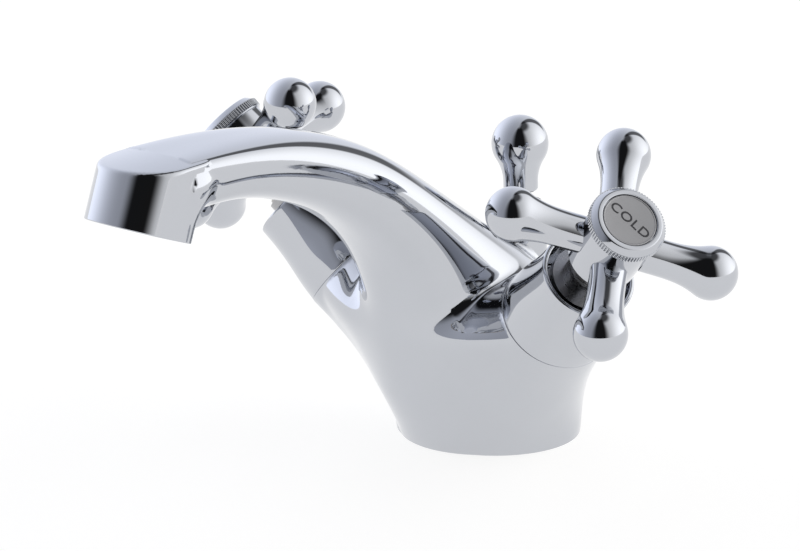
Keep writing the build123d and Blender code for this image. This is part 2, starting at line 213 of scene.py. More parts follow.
def spoutDistance(x, y, z):
    def ahead(row):
        return (z - row[3]) * (row[0] - row[2]) - (y - row[2]) * (row[1] - row[3])

    row = spoutTrack.read(spoutTrack.find(ahead, len(y)))
    topY, topZ, lowY, lowZ, half, share, squareTop, squareLow = row
    height = np.hypot(topY - lowY, topZ - lowZ)
    h = ((y - lowY) * (topY - lowY) + (z - lowZ) * (topZ - lowZ)) / height - height * (1 - share)
    power = np.where(h > 0, squareTop, squareLow)
    reach = height * np.where(h > 0, share, 1 - share)
    size = (np.abs(x / half) ** power + np.abs(h / reach) ** power) ** (1 / power)
    skin = np.hypot(x, h) * (1 - 1 / np.maximum(size, 1e-3))
    return np.maximum(skin, spoutRows[-1][0] - y)


valveRoot = np.array(valves["cold"]["root"]) / mm
valveAxis = np.array(valves["cold"]["axis"])
seamStation = stations("cold_bell", "cold")[0] / mm
seamMiddle = valveRoot + valveAxis * seamStation


def wingTrackRows():
    bend = np.array(casting["wingBend"])
    rows = [[0, 0, casting["wingFoot"][0], 0, 0, 1, casting["wingFoot"][1]]]
    for share, radius in casting["wingRows"]:
        middle = bend * 2 * share * (1 - share) + seamMiddle * share**2
        lean = bend * (1 - share) + (seamMiddle - bend) * share
        rows.append([*middle, *(lean / np.linalg.norm(lean)), radius])
    return np.array(rows)


wingTrack = Track(wingTrackRows()[:, :3], wingTrackRows())


def valveStation(x, y, z):
    away = (x - valveRoot[0], y - valveRoot[1], z - valveRoot[2])
    return away[0] * valveAxis[0] + away[1] * valveAxis[1] + away[2] * valveAxis[2]


def wingDistance(x, y, z):
    def ahead(row):
        return (x - row[0]) * row[3] + (y - row[1]) * row[4] + (z - row[2]) * row[5]

    row = wingTrack.read(wingTrack.find(ahead, len(y)))
    lift = ahead(row)
    away = [x - row[0] - lift * row[3], y - row[1] - lift * row[4], z - row[2] - lift * row[5]]
    around = np.sqrt(away[0] ** 2 + away[1] ** 2 + away[2] ** 2)
    return np.maximum(around - row[6], valveStation(x, y, z) - seamStation - casting["over"])


def trunkDistance(x, y, z):
    rows = np.array(casting["trunkRows"])
    half, front, back = smoothRun(rows[:, 0], rows[:, 1:], np.clip(z, 0, rows[-1, 0])).T
    deep = (back - front) / 2
    away = y - (front + back) / 2
    size = np.hypot(x / half, away / deep)
    skin = np.hypot(x, away) * (1 - 1 / np.maximum(size, 1e-3))
    height, slope, edge = casting["trunkTop"]
    skin = meet(skin, z - height - slope * x, edge)
    radius, flare, edge = casting["trunkEnd"]
    station = valveStation(x, y, z)
    away = [value - root - station * axis for value, root, axis in zip((x, y, z), valveRoot, valveAxis)]
    around = np.sqrt(away[0] ** 2 + away[1] ** 2 + away[2] ** 2)
    cone = around - radius - flare * (seamStation - station)
    return meet(skin, cone / math.hypot(1, flare), edge)


def noseFrame():
    tilt = math.radians(casting["noseTilt"])
    middle = np.array([0, *casting["noseMiddle"]])
    back = np.array([0, math.cos(tilt), -math.sin(tilt)])
    rise = np.array([0, math.sin(tilt), math.cos(tilt)])
    return middle, back, rise


def noseDistance(x, y, z, top):
    middle, back, rise = noseFrame()
    v = (y - middle[1]) * back[1] + (z - middle[2]) * back[2]
    w = (y - middle[1]) * rise[1] + (z - middle[2]) * rise[2]
    radius = casting["noseRadius"]
    side = np.where(v < 0, np.hypot(x, v), np.abs(x)) - radius
    side = meet(side, v - casting["noseBack"], casting["noseBackEdge"])
    side = np.maximum(side, -w - casting["over"])
    start, along, across = casting["noseCrown"]
    crown = top - np.minimum(y - start, 0) ** 2 / (2 * along) - x**2 / (2 * across)
    return meet(side, z - crown, casting["noseTopEdge"])


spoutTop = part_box("mixer_body")[1].z / mm - casting["topDrop"]
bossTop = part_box("rod_bush")[1].z / mm - casting["bossDrop"]
bossBack = (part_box("lift_rod")[0].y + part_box("lift_rod")[1].y) / 2 / mm


def castingDistance(points):
    x, y, z = np.abs(points[:, 0]), points[:, 1], points[:, 2]
    wings = np.minimum(wingDistance(x, y, z), wingDistance(-x, y, z))
    room = np.clip((seamStation - valveStation(x, y, z)) / casting["seamRoom"], 0.1, 1)
    valley = casting["valleyBlend"] * ease(z, *casting["valleyRise"]) * room
    whole = blend(wings, spoutDistance(x, y, z), valley)
    front = ease(z, *casting["trunkRise"]) * (1 - ease(y, *casting["trunkFront"])) * room
    whole = blend(whole, trunkDistance(x, y, z), casting["trunkBlend"] * front)
    boss = meet(np.hypot(x, y - bossBack) - casting["bossRadius"], z - bossTop, casting["bossEdge"])
    whole = blend(whole, np.maximum(boss, casting["bossFoot"] - z), casting["bossBlend"])
    fade = casting["noseBlend"] * (1 - ease(z, *casting["noseFade"]))
    return blend(whole, noseDistance(x, y, z, spoutTop), fade)


def castingSlope(points):
    step = 0.02
    sides = []
    for way in np.eye(3):
        sides.append(castingDistance(points + step * way) - castingDistance(points - step * way))
    return np.stack(sides, 1) / (2 * step)


def settle(points, rounds):
    # moves points on to the skin
    for _ in range(rounds):
        slope = castingSlope(points)
        length = np.maximum((slope**2).sum(1), 0.05)
        points = points - slope * (castingDistance(points) / length)[:, None]
    return points


def netSurface(values, origin, cell):
    # one point in each cell that the skin crosses, one face for each grid edge that it crosses
    shape = np.array(values.shape)
    total = np.zeros((values.size, 3))
    count = np.zeros(values.size)
    strides = np.array([shape[1] * shape[2], shape[2], 1])
    faces = []
    for axis in range(3):
        low = np.take(values, range(shape[axis] - 1), axis)
        high = np.take(values, range(1, shape[axis]), axis)
        base = np.argwhere((low < 0) != (high < 0))
        a = low[tuple(base.T)]
        b = high[tuple(base.T)]
        point = base.astype(float)
        point[:, axis] += a / (a - b)
        u = strides[(axis + 1) % 3]
        v = strides[(axis + 2) % 3]
        start = base @ strides
        ring = np.stack([start, start - u, start - u - v, start - v], 1)
        for column in range(4):
            np.add.at(total, ring[:, column], point)
            np.add.at(count, ring[:, column], 1)
        faces.append(np.where((a < 0)[:, None], ring, ring[:, ::-1]))
    faces = np.concatenate(faces)
    used, faces = np.unique(faces, return_inverse=True)
    faces = faces.reshape(-1, 4)
    return total[used] / count[used, None] * cell + origin, faces


def relax(points, faces, rounds):
    # evens out the faces, then puts the points back on the skin
    ends = np.concatenate([faces, np.roll(faces, -1, 1)]).reshape(-1)
    others = np.concatenate([np.roll(faces, -1, 1), faces]).reshape(-1)
    for _ in range(rounds):
        total = np.zeros_like(points)
        np.add.at(total, ends, points[others])
        count = np.bincount(ends, minlength=len(points))[:, None]
        points = settle(points * 0.4 + total / count * 0.6, 1)
    return points


def quarter(points, faces):
    # cuts each face in four
    edges = np.sort(np.stack([faces, np.roll(faces, -1, 1)], 2).reshape(-1, 2), 1)
    unique, place = np.unique(edges, axis=0, return_inverse=True)
    place = place.reshape(-1, 4) + len(points)
    centre = np.arange(len(faces)) + len(points) + len(unique)
    new = np.concatenate([points, points[unique].mean(1), points[faces].mean(1)])
    parts = [np.stack([faces[:, i], place[:, i], centre, place[:, i - 1]], 1) for i in range(4)]
    return new, np.concatenate(parts)


def castingSkin():
    cell = casting["cell"]
    xs = (np.arange(casting["cellsAcross"]) + 0.5) * cell
    ys = np.arange(*casting["gridBack"], cell)
    zs = np.arange(*casting["gridRise"], cell)
    grid = np.stack(np.meshgrid(xs, ys, zs, indexing="ij"), -1).reshape(-1, 3)
    half = castingDistance(grid).reshape(len(xs), len(ys), len(zs))
    values = np.concatenate([half[::-1], half])
    points, faces = netSurface(values, np.array([-xs[-1], ys[0], zs[0]]), cell)
    points = relax(settle(points, 2), faces, 3)
    points, faces = quarter(points, faces)
    return settle(points, 2), faces


def linked(name, mesh):
    piece = bpy.data.objects.new(name, mesh)
    bpy.context.scene.collection.objects.link(piece)
    return piece


def evaluated(piece):
    return bpy.data.meshes.new_from_object(piece.evaluated_get(bpy.context.evaluated_depsgraph_get()))


def fillets(profile, steps=5):
    # a (radius, height, fillet) outline in mm with its corners rounded
    outline = []
    for i, corner in enumerate(profile):
        point = Vector(corner[:2])
        fillet = corner[2] if len(corner) > 2 else 0
        if fillet == 0:
            outline.append(point)
            continue
        before = (Vector(profile[i - 1][:2]) - point).normalized()
        after = (Vector(profile[(i + 1) % len(profile)][:2]) - point).normalized()
        reach = fillet / math.tan(before.angle(after) / 2)
        middle = point + (before + after).normalized() * (fillet / math.sin(before.angle(after) / 2))
        start = point + before * reach - middle
        sweep = start.angle_signed(point + after * reach - middle)
        for step in range(steps + 1):
            outline.append(middle + Matrix.Rotation(-sweep * step / steps, 2) @ start)
    return outline


def turnedMesh(name, outline, place=Matrix.Identity(4), count=96, closed=True):
    # turns an outline in mm about local z; points on the axis become poles
    bm = bmesh.new()
    rings = []
    for radius, height in outline:
        if radius < 1e-6:
            rings.append([bm.verts.new((0, 0, height * mm))] * count)
            continue
        ring = []
        for i in range(count):
            angle = 2 * math.pi * i / count
            spot = (radius * mm * math.cos(angle), radius * mm * math.sin(angle), height * mm)
            ring.append(bm.verts.new(spot))
        rings.append(ring)
    pairs = list(zip(rings, rings[1:]))
    if closed and outline[0][0] > 1e-6:
        pairs.append((rings[-1], rings[0]))
    for low, high in pairs:
        for i in range(count):
            j = (i + 1) % count
            ring = list(dict.fromkeys([low[i], low[j], high[j], high[i]]))
            if len(ring) > 2:
                bm.faces.new(ring)
    if closed:
        bmesh.ops.recalc_face_normals(bm, faces=bm.faces)
    bm.transform(place)
    mesh = bpy.data.meshes.new(name)
    bm.to_mesh(mesh)
    bm.free()
    mesh.shade_smooth()
    mesh.set_sharp_from_angle(angle=math.radians(38))
    return mesh


def roundedEnd(bm, place, normal, chosen, lip):
    # cuts the skin square at a plane, in metres, and rolls the edge over
    normal = Vector(normal).normalized()
    faces = [face for face in bm.faces if chosen(face.calc_center_median())]
    edges = {edge for face in faces for edge in face.edges}
    verts = {v for face in faces for v in face.verts}
    cut = bmesh.ops.bisect_plane(
        bm,
        geom=[*faces, *edges, *verts],
        dist=1e-8,
        plane_co=Vector(place) - normal * lip,
        plane_no=normal,
        clear_outer=True,
    )
    edges = [item for item in cut["geom_cut"] if isinstance(item, bmesh.types.BMEdge)]
    rim = list({v for edge in edges for v in edge.verts})
    slope = castingSlope(np.array([v.co for v in rim]) / mm)
    start = {}
    for v, way in zip(rim, slope):
        inward = Vector(-way)
        start[v] = (v.co.copy(), (inward - normal * inward.dot(normal)).normalized())
    for step in range(1, 5):
        angle = math.pi / 2 * step / 4
        new = bmesh.ops.extrude_edge_only(bm, edges=edges)["geom"]
        edges = [item for item in new if isinstance(item, bmesh.types.BMEdge)]
        moved = {}
        for v in {v for edge in edges for v in edge.verts}:
            old = next(e.other_vert(v) for e in v.link_edges if e.other_vert(v) in start)
            foot, inward = start[old]
            v.co = foot + inward * lip * (1 - math.cos(angle)) + normal * lip * math.sin(angle)
            moved[v] = (foot, inward)
        start = moved
    bmesh.ops.contextual_create(bm, geom=edges)


def barCutter(radius, low, high, place=Matrix.Identity(4), count=64):
    return turnedMesh("cutter", [(0, low), (radius, low), (radius, high), (0, high)], place, count)


# the bores of the casting, in mm
bores = {
    "baseHollow": (19, 8),  # radius, height
    "sealGroove": (3.2, 2),  # width, depth
    "aerator": (11.52, 12),  # radius, depth
    "outlet": (5.5, 16),
    "stud": (3.4, 22, -12),  # radius, height, y
    "inlet": (4.5, 20, 8, 1),  # radius, height, x, y
    "rod": (0.8, 70),  # gap around the rod, height
    "bush": (4.45, 15.6),  # radius, depth
    "valve": (10.3, 22),  # radius, depth below the seam
    "start": 1,  # how far a bore begins before the face that it opens in
    "end": 2,  # how far a bore from the top runs out
}


def castingCutters():
    start, end = bores["start"], bores["end"]
    rodPlace = Matrix.Translation((0, bossBack * mm, 0))
    noseMiddle, noseBack, noseRise = noseFrame()
    nosePlace = Matrix((Vector((1, 0, 0)), noseBack, noseRise)).transposed().to_4x4()
    nosePlace = Matrix.Translation(Vector(noseMiddle) * mm) @ nosePlace
    hollow, hollowHeight = bores["baseHollow"]
    width, depth = bores["sealGroove"]
    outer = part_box("base_seal")[1].x / mm
    groove = [(outer, -start), (outer, depth), (outer - width, depth), (outer - width, -start)]
    aerator, aeratorDepth = bores["aerator"]
    outlet, outletDepth = bores["outlet"]
    stud, studHeight, studBack = bores["stud"]
    rodGap, rodHeight = bores["rod"]
    bush, bushDepth = bores["bush"]
    cutters = [
        barCutter(hollow, -start, hollowHeight, count=96),
        turnedMesh("cutter", groove, count=96),
        barCutter(aerator, -start, aeratorDepth, nosePlace, 96),
        barCutter(outlet, aeratorDepth - start, outletDepth, nosePlace),
        barCutter(stud, hollowHeight - start, studHeight, Matrix.Translation((0, studBack * mm, 0))),
        barCutter(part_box("lift_rod")[1].x / mm + rodGap, -start, rodHeight, rodPlace),
        barCutter(bush, bossTop - bushDepth, bossTop + end, rodPlace),
    ]
    radius, depth = bores["valve"]
    inlet, inletHeight, inletSide, inletBack = bores["inlet"]
    for valve in valves.values():
        cutters.append(barCutter(radius, seamStation - depth, seamStation + end, valve["place"]))
        place = Matrix.Translation((valve["sign"] * inletSide * mm, inletBack * mm, 0))
        cutters.append(barCutter(inlet, hollowHeight - start, inletHeight, place))
    return cutters


def makeCasting():
    points, faces = castingSkin()
    mesh = bpy.data.meshes.new("castingSkin")
    mesh.from_pydata((points * mm).tolist(), [], faces.tolist())
    bm = bmesh.new()
    bm.from_mesh(mesh)
    lip = casting["lip"] * mm
    noseMiddle, noseBack, noseRise = noseFrame()
    baseTop = casting["baseBand"] * mm
    front, top = (size * mm for size in casting["noseBand"])
    around, behind = (size * mm for size in casting["seamBand"])
    roundedEnd(bm, (0, 0, 0), (0, 0, -1), lambda c: c.z < baseTop, lip)
    roundedEnd(bm, noseMiddle * mm, -noseRise, lambda c: c.y < front and c.z < top, lip / 2)
    for valve in valves.values():
        seat = valve["root"] + valve["axis"] * seamStation * mm

        def atSeam(c):
            return (c - seat).length < around and (c - seat).dot(valve["axis"]) > -behind

        roundedEnd(bm, seat, valve["axis"], atSeam, lip / 2)
    bm.to_mesh(mesh)
    bm.free()
    skin = linked("mixerCasting", mesh)
    cutters = []
    for cutter in castingCutters():
        tool = linked("cutter", cutter)
        cutters.append(tool)
        cut = skin.modifiers.new("bore", "BOOLEAN")
        cut.operation = "DIFFERENCE"
        cut.solver = "MANIFOLD"
        cut.object = tool
    done = evaluated(skin)
    skin.modifiers.clear()
    skin.data = done
    for tool in cutters:
        bpy.data.objects.remove(tool)
    return skin


def finishCasting(piece, outside, inside):
    # the skin's own normals, and bare metal in the bores
    mesh = piece.data
    mesh.materials.clear()
    mesh.materials.append(outside)
    mesh.materials.append(inside)
    mesh.shade_smooth()
    mesh.set_sharp_from_angle(angle=math.radians(35))
    centres = np.empty(len(mesh.polygons) * 3)
    mesh.polygons.foreach_get("center", centres)
    deep = castingDistance(centres.reshape(-1, 3) / mm) < -casting["boreDepth"]
    mesh.polygons.foreach_set("material_index", deep.astype(np.int32))
    places = np.empty(len(mesh.vertices) * 3)
    mesh.vertices.foreach_get("co", places)
    places = places.reshape(-1, 3) / mm
    onSkin = np.abs(castingDistance(places)) < 0.02
    slope = castingSlope(places)
    slope /= np.linalg.norm(slope, axis=1)[:, None] + 1e-9
    normals = np.empty(len(mesh.loops) * 3)
    mesh.corner_normals.foreach_get("vector", normals)
    normals = normals.reshape(-1, 3)
    corner = np.empty(len(mesh.loops), np.int32)
    mesh.loops.foreach_get("vertex_index", corner)
    exact = slope[corner]
    use = onSkin[corner] & ((exact * normals).sum(1) > 0.86)
    mesh.normals_split_custom_set(np.where(use[:, None], exact, normals).tolist())


# the finishes: every one reads Object coordinates, in metres
finishes = {
    "chrome": {"tint": (0.55, 0.565, 0.60), "low": 0.025, "high": 0.06, "waviness": 0.012},
    "caps": {"tint": (0.53, 0.545, 0.58), "low": 0.05, "high": 0.10, "waviness": 0.01},
    "satin": {"tint": (0.36, 0.36, 0.37), "low": 0.30, "high": 0.40, "waviness": 0.02},
    "steel": {"tint": (0.45, 0.44, 0.43), "low": 0.22, "high": 0.36, "waviness": 0.03},
    "plated": {"tint": (0.42, 0.42, 0.43), "low": 0.18, "high": 0.32, "waviness": 0.03},
    "brass": {"tint": (0.52, 0.37, 0.17), "low": 0.25, "high": 0.42, "waviness": 0.03},
}


def newMaterial(name):
    material = bpy.data.materials.new(name)
    material.use_nodes = True
    tree = material.node_tree
    return material, tree, tree.nodes["Principled BSDF"]


def noiseAt(tree, scale, detail=2.0, roughness=0.5):
    noise = tree.nodes.new("ShaderNodeTexNoise")
    noise.inputs["Scale"].default_value = scale
    noise.inputs["Detail"].default_value = detail
    noise.inputs["Roughness"].default_value = roughness
    place = tree.nodes.new("ShaderNodeTexCoord")
    tree.links.new(place.outputs["Object"], noise.inputs["Vector"])
    return noise


def spread(tree, source, low, high, start=0.35, end=0.65):
    run = tree.nodes.new("ShaderNodeMapRange")
    run.inputs["From Min"].default_value = start
    run.inputs["From Max"].default_value = end
    run.inputs["To Min"].default_value = low
    run.inputs["To Max"].default_value = high
    tree.links.new(source, run.inputs["Value"])
    return run.outputs["Result"]


def raised(tree, source, strength, distance, shader):
    bump = tree.nodes.new("ShaderNodeBump")
    bump.inputs["Strength"].default_value = strength
    bump.inputs["Distance"].default_value = distance
    tree.links.new(source, bump.inputs["Height"])
    tree.links.new(bump.outputs["Normal"], shader.inputs["Normal"])


def mixedColour(tree, factor, a, b):
    mix = tree.nodes.new("ShaderNodeMix")
    mix.data_type = "RGBA"
    mix.inputs["A"].default_value = a
    mix.inputs["B"].default_value = b
    tree.links.new(factor, mix.inputs["Factor"])
    return mix.outputs["Result"]


def metalFinish(name, finish, grain=0.0):
    # polished or satin metal: soft patches of gloss, and a trace of polishing waves
    made = finishes[finish]
    material, tree, shader = newMaterial(name)
    shader.inputs["Metallic"].default_value = 1.0
    patches = noiseAt(tree, 70, 4.0, 0.6)
    darker = [c * 0.97 for c in made["tint"]]
    tone = mixedColour(tree, patches.outputs["Fac"], (*darker, 1), (*made["tint"], 1))
    tree.links.new(tone, shader.inputs["Base Color"])
    gloss = spread(tree, patches.outputs["Fac"], made["low"], made["high"])
    tree.links.new(gloss, shader.inputs["Roughness"])
    fine = noiseAt(tree, 5200 if grain else 260, 3.0, 0.5)
    raised(tree, fine.outputs["Fac"], made["waviness"] + grain, 0.0002, shader)
    return material


def mouldedFinish(name, tint, dark, low, high, scale=900, depth=0.06):
    # rubber, ceramic and plastic: a fine moulded grain under soft patches of colour
    material, tree, shader = newMaterial(name)
    patches = noiseAt(tree, 160, 4.0, 0.6)
    share = spread(tree, patches.outputs["Fac"], 0, 1)
    tree.links.new(mixedColour(tree, share, (*dark, 1), (*tint, 1)), shader.inputs["Base Color"])
    grain = noiseAt(tree, scale, 3.0, 0.6)
    tree.links.new(spread(tree, grain.outputs["Fac"], low, high), shader.inputs["Roughness"])
    raised(tree, grain.outputs["Fac"], depth, 0.0002, shader)
    return material


print("finishes")
bodyChrome = metalFinish("bodyChrome", "chrome")
trimChrome = metalFinish("trimChrome", "chrome")
handleChrome = metalFinish("handleChrome", "chrome")
capChrome = metalFinish("capChrome", "caps")
aeratorChrome = metalFinish("aeratorChrome", "caps")
indexSatin = metalFinish("indexSatin", "satin", 0.05)
platedCollar = metalFinish("platedCollar", "plated")
bareBrass = metalFinish("bareBrass", "brass", 0.03)
springSteel = metalFinish("springSteel", "steel", 0.03)
blackRubber = mouldedFinish("blackRubber", (0.022, 0.022, 0.024), (0.015, 0.015, 0.016), 0.55, 0.75)
sealRubber = mouldedFinish("sealRubber", (0.028, 0.028, 0.03), (0.018, 0.018, 0.02), 0.45, 0.65)
discCeramic = mouldedFinish("discCeramic", (0.82, 0.80, 0.76), (0.76, 0.74, 0.70), 0.12, 0.25, 2400, 0.02)
bushNylon = mouldedFinish("bushNylon", (0.08, 0.08, 0.085), (0.06, 0.06, 0.065), 0.35, 0.5)
aeratorNylon = mouldedFinish("aeratorNylon", (0.62, 0.63, 0.65), (0.55, 0.56, 0.58), 0.35, 0.5)
letterPaint = mouldedFinish("letterPaint", (0.05, 0.05, 0.055), (0.035, 0.035, 0.04), 0.4, 0.55, 2500, 0.04)

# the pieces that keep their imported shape
kept = {
    "lift_rod": trimChrome,
    "rod_bush": bushNylon,
    "rod_seal": sealRubber,
    "base_seal": blackRubber,
    "aerator_housing": aeratorChrome,
    "aerator_insert": aeratorNylon,
    "aerator_washer": sealRubber,
}
for side in valves:
    kept[side + "_headwork"] = platedCollar
    kept[side + "_bonnet_ring"] = sealRubber
    kept[side + "_seat_seal"] = sealRubber
    kept[side + "_fixed_disc"] = discCeramic
    kept[side + "_moving_disc"] = discCeramic
    kept[side + "_spindle"] = platedCollar
    kept[side + "_spindle_seals"] = sealRubber
    kept[side + "_circlip"] = springSteel
    kept[side + "_handle_screw"] = springSteel
for node, material in kept.items():
    for slot in nodes[node].material_slots:
        slot.material = material


def settled(piece, body, slot, *stands):
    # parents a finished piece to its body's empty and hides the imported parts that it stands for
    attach(piece, body)
    if stands:
        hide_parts(*stands)


def turned(name, outline, place, count):
    return linked(name, turnedMesh(name, outline, place, count))


print("casting: skin and bores")
body = makeCasting()
finishCasting(body, bodyChrome, bareBrass)
settled(body, "body", "body_chrome", "mixer_body")


# the bell covers
bell = {
    "foot": 15.6,
    "swell": [(0.235, 15.0), (0.48, 14.0), (0.75, 13.2)],  # share of the height, radius
    "rim": 12.93,
    "wall": 1.4,
    "flange": 1.5,
    "hole": 10.6,
    "ring": 1.2,
}


def bellOutline(low, high):
    shares, radii = np.array([(0, bell["foot"]), *bell["swell"], (1, bell["rim"])]).T
    rises = low + (high - low) * shares
    radii = radii[:, None]
    at = np.linspace(low, high, 25)
    outside = list(zip(smoothRun(rises, radii, at)[:, 0], at))
    outside[0] = (*outside[0], 0.25)
    flangeTop = low + bell["ring"] + bell["flange"]
    at = np.linspace(high, flangeTop, 21)
    inside = [(r - bell["wall"], z) for r, z in zip(smoothRun(rises, radii, at)[:, 0], at)]
    inside[0] = (inside[0][0], high, 0.55)
    outside[-1] = (outside[-1][0], high, 0.7)
    inside[-1] = (*inside[-1], 0.4)
    recess = bell["foot"] - bell["wall"]
    under = low + bell["ring"]
    flange = [(bell["hole"], flangeTop, 0.2), (bell["hole"], under, 0.2), (recess, under), (recess, low)]
    return fillets(outside + inside + flange)


# the cross handles
cross = {
    "hub": 9.7,
    "edge": 0.8,
    "socket": 7.4,
    "socketDepth": 4.3,
    "stem": 4.05,
    "screwSeat": (1.9, 2.3),  # width, height
    "armRoot": 1.2,  # how deep an arm starts in the hub
    "reach": 27.9,
    "ball": 7.28,
    "neck": 5.0,
    "neckLength": 9.7,
    "flare": 112.0,
    "pull": 0.36,
    "below": 7.8,
    "above": 9.1,
    "turn": {"cold": 61.9, "hot": 22.7},
}


def teardropOutline(shape, reach, start=0.0, steps=18):
    # from the neck, a swell that runs into a ball; points are (radius, run)
    neck, neckLength, ball = shape["neck"], shape["neckLength"], shape["ball"]
    flare = math.radians(shape["flare"])
    a = Vector((neck, neckLength))
    d = Vector((ball * math.sin(flare), reach + ball * math.cos(flare)))
    hold = (d - a).length * shape["pull"]
    b = a + Vector((0, 1)) * hold
    c = d - Vector((-math.cos(flare), math.sin(flare))) * hold
    outline = [(0, start), (neck, start), (neck, (start + neckLength) / 2), (neck, neckLength)]
    for i in range(1, steps + 1):
        t = i / steps
        point = a * (1 - t) ** 3 + b * 3 * t * (1 - t) ** 2 + c * 3 * t * t * (1 - t) + d * t**3
        outline.append(tuple(point))
    for i in range(1, steps + 1):
        turn = flare * (1 - i / steps)
        outline.append((ball * math.sin(turn), reach + ball * math.cos(turn)))
    outline[-1] = (0, reach + ball)
    return outline


def joined(name, meshes):
    bm = bmesh.new()
    for mesh in meshes:
        bm.from_mesh(mesh)
    mesh = bpy.data.meshes.new(name)
    bm.to_mesh(mesh)
    bm.free()
    for part in meshes:
        bpy.data.meshes.remove(part)
    return mesh


def dressed(piece, material):
    piece.data.materials.clear()
    piece.data.materials.append(material)
    return piece


def makeHandle(side):
    valve = valves[side]
    capBottom = stations(side + "_cap", side)[0] / mm + cap["plugLength"]
    middle = capBottom - cross["above"]
    low, high = middle - cross["below"], middle + cross["above"]
    floor = high - cross["socketDepth"]
    seatWidth, seatHeight = cross["screwSeat"]
    hub = fillets(
        [
            (cross["stem"], low, 0.3),
            (cross["hub"], low, cross["edge"]),
            (cross["hub"], high, 0.15),
            (cross["socket"], high, 0.15),
            (cross["socket"], floor),
            (cross["stem"] - seatWidth, floor),
            (cross["stem"] - seatWidth, floor - seatHeight),
            (cross["stem"], floor - seatHeight),
        ]
    )
    parts = [turnedMesh("hub", hub, valve["place"], 128)]
    outline = teardropOutline(cross, cross["reach"], cross["hub"] - cross["armRoot"])
    for quarterTurn in range(4):
        turn = math.radians(valve["sign"] * cross["turn"][side] + 90 * quarterTurn)
        along = Matrix.Rotation(turn, 4, "Z") @ Matrix.Rotation(math.pi / 2, 4, "Y")
        place = valve["place"] @ Matrix.Translation((0, 0, middle * mm)) @ along
        parts.append(turnedMesh("arm", outline, place, 80))
    return linked(side + "CrossHandle", joined(side + "CrossHandle", parts))


# the caps: a knurled band, a smooth bevel and a rolled rim around the index disc
cap = {
    "band": 10.58,
    "core": 10.12,
    "bandHeight": 2.5,
    "smooth": 0.5,
    "face": 8.95,
    "rise": 4.2,
    "pocket": 7.6,
    "shoulder": 0.2,  # step from the bevel down to the ribs
    "bead": 0.12,  # how far the smooth foot stands out
    "plug": 7.35,
    "plugLength": 3.6,
    "plugWall": 1.6,
    "recess": 0.25,
    "discHeight": 1.0,
    "ribs": 78,
    "ribWidth": 0.72,
}


def makeCap(side):
    bottom = stations(side + "_cap", side)[0] / mm + cap["plugLength"]
    band = bottom + cap["bandHeight"]
    top = bottom + cap["rise"]
    floor = top - cap["recess"] - cap["discHeight"]
    foot = cap["core"] + cap["bead"]
    plugEnd = bottom - cap["plugLength"]
    outline = fillets(
        [
            (0, floor),
            (cap["pocket"], floor),
            (cap["pocket"], top, 0.25),
            (cap["face"], top, 0.6),
            (cap["core"] + cap["shoulder"], band, 0.15),
            (cap["core"], band - cap["shoulder"]),
            (cap["core"], bottom + cap["smooth"]),
            (foot, bottom + cap["smooth"] - 0.1, 0.1),
            (foot, bottom, 0.2),
            (cap["plug"], bottom),
            (cap["plug"], plugEnd, 0.2),
            (cap["plug"] - cap["plugWall"], plugEnd, 0.2),
            (cap["plug"] - cap["plugWall"], bottom),
            (0, bottom),
        ]
    )
    return turned(side + "Cap", outline, valves[side]["place"], 144)


def ribTree():
    # upright ribs in a ring, for the knurled band
    tree = bpy.data.node_groups.new("knurledBand", "GeometryNodeTree")
    face = tree.interface
    face.new_socket("Geometry", in_out="INPUT", socket_type="NodeSocketGeometry")
    count = face.new_socket("Ribs", in_out="INPUT", socket_type="NodeSocketInt")
    radius = face.new_socket("Ring radius", in_out="INPUT", socket_type="NodeSocketFloat")
    width = face.new_socket("Rib radius", in_out="INPUT", socket_type="NodeSocketFloat")
    height = face.new_socket("Rib height", in_out="INPUT", socket_type="NodeSocketFloat")
    finish = face.new_socket("Finish", in_out="INPUT", socket_type="NodeSocketMaterial")
    face.new_socket("Geometry", in_out="OUTPUT", socket_type="NodeSocketGeometry")
    given = tree.nodes.new("NodeGroupInput")
    done = tree.nodes.new("NodeGroupOutput")
    circle = tree.nodes.new("GeometryNodeMeshCircle")
    rib = tree.nodes.new("GeometryNodeMeshCylinder")
    rib.inputs["Vertices"].default_value = 10
    place = tree.nodes.new("GeometryNodeInstanceOnPoints")
    real = tree.nodes.new("GeometryNodeRealizeInstances")
    paint = tree.nodes.new("GeometryNodeSetMaterial")
    links = tree.links
    links.new(given.outputs["Ribs"], circle.inputs["Vertices"])
    links.new(given.outputs["Ring radius"], circle.inputs["Radius"])
    links.new(given.outputs["Rib radius"], rib.inputs["Radius"])
    links.new(given.outputs["Rib height"], rib.inputs["Depth"])
    links.new(circle.outputs["Mesh"], place.inputs["Points"])
    links.new(rib.outputs["Mesh"], place.inputs["Instance"])
    links.new(place.outputs["Instances"], real.inputs["Geometry"])
    links.new(real.outputs["Geometry"], paint.inputs["Geometry"])
    links.new(given.outputs["Finish"], paint.inputs["Material"])
    links.new(paint.outputs["Geometry"], done.inputs["Geometry"])
    return tree, {"ribs": count, "radius": radius, "width": width, "height": height, "finish": finish}


knurlTree, knurlInputs = ribTree()


